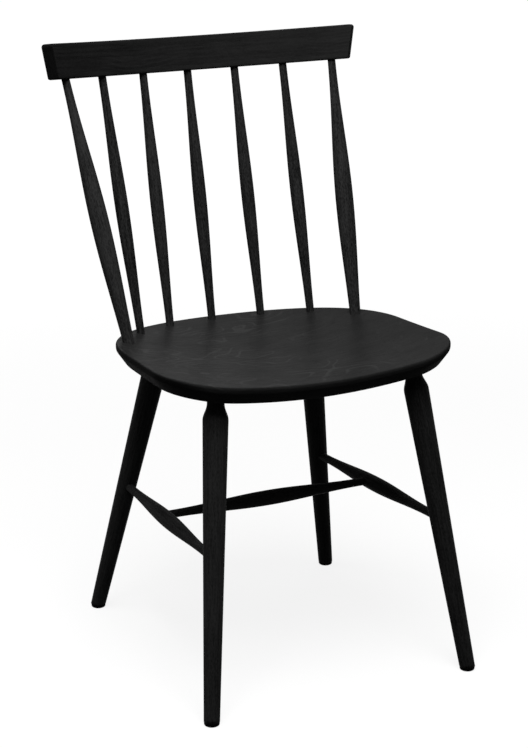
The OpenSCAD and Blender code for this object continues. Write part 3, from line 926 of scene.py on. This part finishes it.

# %% [markdown]
# ### Mark the grain and lean the rail back
#
# The grain is written on the points before they move, while the tree still reads their old
# places. The paleness runs from one end to the other: a painted shade darkens the rail's left
# end and a painted light pales its right end, where the light falls on the bent rail. The
# turned end cuts make the rail's back longer, and END_TRIM shortens the block by nearly as
# much at each end, to keep the drawing's length.

# %% Mark the grain and lean the rail back
END_TRIM = 0.8
grain = vector_calc(rail_tree, "ADD", plank_place, rail_sizes["Plank"])
# Painted shade and light: this paleness darkens the rail's left end and pales its right end.
paleness = rail_calc("MULTIPLY", share, rail_sizes["Paleness"])
marked = mark_wood(rail_tree, block, grain, fibre, paleness)
bent_block = add(rail_tree, "GeometryNodeSetPosition", Geometry=marked, Position=bent)
leant = add(
    rail_tree, "GeometryNodeTransform", Geometry=bent_block.outputs[0],
    Rotation=join(rail_tree, X=rail_calc("MULTIPLY", rail_sizes["Lean"], -1.0)),
    Translation=rail_sizes["Base"],
)
soft = add(rail_tree, "GeometryNodeSetShadeSmooth", Geometry=leant.outputs[0])
finish_tree(rail_tree, rail_sizes, soft.outputs[0])
# On the rail, Paleness sets the strength of the painted shade on its left end and the painted light on
# its right end.
rail = make_piece("crest_rail_bent", rail_tree, rail_wood, {
    "Bend Radius": CREST_RADIUS * MM, "Half Angle": (CREST_LENGTH / 2 - END_TRIM) / CREST_RADIUS,
    "Height": CREST_HEIGHT * MM, "Thickness": CREST_THICKNESS * MM, "End Turn": radians(5.5),
    "Edge Radius": 2.5 * MM, "End Edge Radius": 0.6 * MM,
    "Top Tip Radius": 5.0 * MM, "Bottom Tip Radius": 2.5 * MM,
    "Flare": CREST_FLARE, "Lean": CREST_LEAN, "Paleness": 0.1,
    "Base": in_metres(Vector((0, CREST_Y, CREST_Z))), "Plank": (0.0, 0.0, 1.3),
})
give(rail, "stained_wood", "crest_rail")

# %% [markdown]
# ## Seat
#
# The seat is one thick board. Its outline is made of true arcs and straight lines, its top
# is dished, and its edge has three parts: a rounded upper corner, a narrow upright band and
# a bevel that runs in under the seat so that it looks thin. It could be carved from a block
# with modifiers, but plain mesh code keeps every arc true. The outline is walked once, and
# each point of the edge's section then becomes a ring round it.

# %% The seat's outline
SIDE_FLARE = radians(2.5)
CORNER_RADIUS = 88.6
CORNER_INSET = SEAT_BACK_RADIUS - CORNER_RADIUS
BACK_STEPS, SIDE_STEPS, CORNER_STEPS, FRONT_STEPS = 72, 12, 40, 14
side_length = (CORNER_INSET * sin(SIDE_FLARE) + SEAT_FRONT - CORNER_RADIUS) / cos(SIDE_FLARE)
corner_x = CORNER_INSET * cos(SIDE_FLARE) + side_length * sin(SIDE_FLARE)
corner_y = CORNER_RADIUS - SEAT_FRONT


def seat_outline():
    """Each point and the way it faces: the right half from back to front, then its mirror."""
    half = []
    for k in range(BACK_STEPS + 1):
        a = pi / 2 + (SIDE_FLARE - pi / 2) * k / BACK_STEPS
        half.append((SEAT_BACK_RADIUS * cos(a), SEAT_BACK_RADIUS * sin(a), a))
    for k in range(1, SIDE_STEPS):
        run = side_length * k / SIDE_STEPS
        x = SEAT_BACK_RADIUS * cos(SIDE_FLARE) + run * sin(SIDE_FLARE)
        half.append((x, SEAT_BACK_RADIUS * sin(SIDE_FLARE) - run * cos(SIDE_FLARE), SIDE_FLARE))
    for k in range(CORNER_STEPS + 1):
        a = SIDE_FLARE - (pi / 2 + SIDE_FLARE) * k / CORNER_STEPS
        half.append((corner_x + CORNER_RADIUS * cos(a), corner_y + CORNER_RADIUS * sin(a), a))
    for k in range(1, FRONT_STEPS + 1):
        half.append((corner_x * (1 - k / FRONT_STEPS), -SEAT_FRONT, -pi / 2))
    return half + [(-x, y, pi - a) for x, y, a in half[-2:0:-1]]


outline = seat_outline()
print("the outline has", len(outline), "points")

# %% The edge's section
EDGE_RADIUS, EDGE_BAND, BEVEL_IN = 4, 8.7, 12.5
EDGE_STEPS = 8
SOFTENING, SOFTENING_STEPS = 1.6, 4
UNDER_RUN = 9


def rounded_path(points, radius, steps):
    """A path with each inner corner replaced by a curve that starts and ends radius away."""
    path = [points[0]]
    for before, corner, after in zip(points, points[1:], points[2:]):
        start = corner + (before - corner).normalized() * radius
        end = corner + (after - corner).normalized() * radius
        for k in range(steps + 1):
            t = k / steps
            path.append(start * (1 - t) ** 2 + corner * (2 * t * (1 - t)) + end * t ** 2)
    return path + [points[-1]]


upper_corner = [
    Vector((EDGE_RADIUS * (1 - sin(a)), EDGE_RADIUS * (1 - cos(a))))
    for a in (pi / 2 * k / EDGE_STEPS for k in range(EDGE_STEPS + 1))
]
bevel = [
    Vector((0, EDGE_BAND)), Vector((BEVEL_IN, SEAT_THICKNESS)),
    Vector((BEVEL_IN + UNDER_RUN, SEAT_THICKNESS)),
]
lower_corners = rounded_path([upper_corner[-1]] + bevel, SOFTENING, SOFTENING_STEPS)
section = upper_corner + lower_corners[1:]
print("the edge's section has", len(section), "points")

# %% Rings of points
TOP_SHARES = (0.02, 0.08, 0.16, 0.26, 0.36, 0.46, 0.56, 0.66, 0.75, 0.83, 0.9, 0.95, 0.98)
UNDER_SHARES = TOP_SHARES[::-2]
seat_middle = Vector((0, (SEAT_BACK_RADIUS - SEAT_FRONT) / 2))


def seat_ring(inset, depth, share):
    """The outline moved in by inset, shrunk to a share of itself, and depth below the top."""
    ring = []
    for x, y, a in outline:
        edge = Vector((x - inset * cos(a), y - inset * sin(a)))
        place = seat_middle + (edge - seat_middle) * share
        ring.append((place.x, place.y, seat_top(place.x, place.y) - depth))
    return ring


rings = [seat_ring(section[0].x, 0, share) for share in TOP_SHARES]
rings += [seat_ring(corner.x, corner.y, 1) for corner in section]
rings += [seat_ring(section[-1].x, SEAT_THICKNESS, share) for share in UNDER_SHARES]
print("the board has", len(rings), "rings")

# %% [markdown]
# ### Close the board
#
# Between two rings lies a strip of four-sided faces. A fan of triangles round one middle point
# closes the top, and another the underside, so the board is a solid with no hole. Corners are
# listed in the order that makes every face look outwards. The top and the first steps of its
# rounded corner are polished, and all the rest gets the edge's finish. The fibres run across
# the chair.

# %% Faces between the rings
# EDGE_FINISH is the edge wood, whose darker tone is painted shade.
TOP_FINISH, EDGE_FINISH = 0, 1
POLISHED_STEPS = 3
count = len(outline)
points = [point for ring in rings for point in ring]
faces, finishes = [], []
for j in range(len(rings) - 1):
    inner, outer = j * count, (j + 1) * count
    for k in range(count):
        after = (k + 1) % count
        faces.append((inner + k, inner + after, outer + after, outer + k))
        finishes.append(TOP_FINISH if j < len(TOP_SHARES) + POLISHED_STEPS else EDGE_FINISH)

top_pole, under_pole = len(points), len(points) + 1
middle_top = seat_top(0, seat_middle.y)
points.append((0, seat_middle.y, middle_top))
points.append((0, seat_middle.y, middle_top - SEAT_THICKNESS))
last = (len(rings) - 1) * count
faces += [(top_pole, (k + 1) % count, k) for k in range(count)]
faces += [(under_pole, last + k, last + (k + 1) % count) for k in range(count)]
finishes += [TOP_FINISH] * count + [EDGE_FINISH] * count
print("the board has", len(faces), "faces")

# %% The seat board
PLANK_MIDDLE = 0.43
ACROSS_THE_CHAIR = (1, 0, 0)
mesh = bpy.data.meshes.new("seat_board")
mesh.from_pydata([in_metres(Vector(point)) for point in points], [], faces)
mesh.validate()
grain = mesh.attributes.new("grain", "FLOAT_VECTOR", "POINT")
fibre = mesh.attributes.new("fibre", "FLOAT_VECTOR", "POINT")
for vertex in mesh.vertices:
    x, y, z = vertex.co
    grain.data[vertex.index].vector = (y, z - PLANK_MIDDLE, x)
    fibre.data[vertex.index].vector = ACROSS_THE_CHAIR
mesh.materials.append(seat_wood)
mesh.materials.append(edge_wood_painted_shade)
for face, finish in zip(mesh.polygons, finishes):
    face.use_smooth = True
    face.material_index = finish
seat = bpy.data.objects.new("seat_board", mesh)
bpy.context.scene.collection.objects.link(seat)
give(seat, "stained_wood", "seat")

# %% [markdown]
# ## Glides and nails
#
# A glide is a small moulded foot, and one nail through its middle holds it. Both are simple
# turned shapes that the CAD part already has exactly, so they keep their CAD meshes here and
# only get their finish.

# %% Finish the glides and the nails
for node, piece in nodes.items():
    if node.startswith("glide"):
        finish = nail_steel if node.startswith("glide_nail") else glide_plastic
        piece.data.materials.clear()
        piece.data.materials.append(finish)
        print(node, "gets", finish.name)

# %% [markdown]
# ## Floor and light
#
# The picture is a studio shot on plain white. Strong lamps could whiten the floor, but they
# would bleach the chair too. So rays from the camera, mirrors and glass see a floor that glows
# enough to reach white, with the chair's shadow still on it, and a white room round it. All
# other rays meet a darker floor and a dim room, which throw little light up under the seat.


# %% Floor
FLOOR_HALF = 60
SEEN_PAPER, UNSEEN_PAPER = (0.22, 0.22, 0.22, 1), (0.06, 0.06, 0.06, 1)
NEAR, FAR = 0.9, 3.0
NEAR_GLOW, FAR_GLOW = 0.86, 1.0


def background_ray(tree):
    """1 for rays that show the background: the camera's, and those off gloss or through glass."""
    path = tree.nodes.new("ShaderNodeLightPath").outputs
    seen = calc(tree, "MAXIMUM", path["Is Camera Ray"], path["Is Glossy Ray"])
    return calc(tree, "MAXIMUM", seen, path["Is Transmission Ray"])


def floor_finish():
    material, tree = empty_material("studio_floor")
    place = add(tree, "ShaderNodeTexCoord").outputs["Object"]
    distance = vector_calc(tree, "LENGTH", place)
    strength = spread(tree, distance, NEAR, FAR, NEAR_GLOW, FAR_GLOW)
    paper = add(tree, "ShaderNodeBsdfDiffuse", Color=SEEN_PAPER)
    glow = add(tree, "ShaderNodeEmission", Strength=strength)
    bright = add(tree, "ShaderNodeAddShader", in0=paper.outputs[0], in1=glow.outputs[0])
    dull = add(tree, "ShaderNodeBsdfDiffuse", Color=UNSEEN_PAPER)
    show(tree, add(
        tree, "ShaderNodeMixShader",
        in0=background_ray(tree), in1=dull.outputs[0], in2=bright.outputs[0],
    ))
    return material


floor_mesh = bpy.data.meshes.new("floor")
corners = [(x * FLOOR_HALF, y * FLOOR_HALF, 0) for x, y in ((-1, -1), (1, -1), (1, 1), (-1, 1))]
floor_mesh.from_pydata(corners, [], [(0, 1, 2, 3)])
floor_mesh.materials.append(floor_finish())
floor = bpy.data.objects.new("floor", floor_mesh)
bpy.context.scene.collection.objects.link(floor)
print("floor is", 2 * FLOOR_HALF, "m wide")

# %% [markdown]
# ### Lamps and the room
#
# The light is soft and comes from above: one strong lamp before the chair, and two weak ones to
# its left and behind it that keep the far edges from going quite black. Big square lamps are
# softer than small ones, because each point of the chair sees all of their face.

# %% Lamps and the room
CHAIR_MIDDLE = Vector((0, 0, 0.45))
LAMP_SIZE = 1.5
LAMP_PLACES = {
    "front_high": (-0.38, -0.81, 2.89), "left_high": (-1.67, 0.78, 2.29), "back_high": (0.38, 0.81, 2.89),
}
LAMP_WATTS = {"front_high": 59, "left_high": 8, "back_high": 6}
UNSEEN_ROOM, SEEN_ROOM = 0.05, 1.0

for name, place in LAMP_PLACES.items():
    lamp = bpy.data.objects.new(name, bpy.data.lights.new(name, "AREA"))
    lamp.data.shape = "SQUARE"
    lamp.data.size = LAMP_SIZE
    lamp.data.energy = LAMP_WATTS[name]
    lamp.location = place
    lamp.rotation_euler = (Vector(place) - CHAIR_MIDDLE).to_track_quat("Z", "Y").to_euler()
    bpy.context.scene.collection.objects.link(lamp)

room = bpy.data.worlds.new("room")
room.use_nodes = True
room_light = room.node_tree.nodes["Background"].inputs
strength = spread(room.node_tree, background_ray(room.node_tree), 0.0, 1.0, UNSEEN_ROOM, SEEN_ROOM)
room.node_tree.links.new(strength, room_light["Strength"])
room_light["Color"].default_value = (1, 1, 1, 1)
bpy.context.scene.world = room
bpy.context.scene.view_settings.view_transform = "Standard"
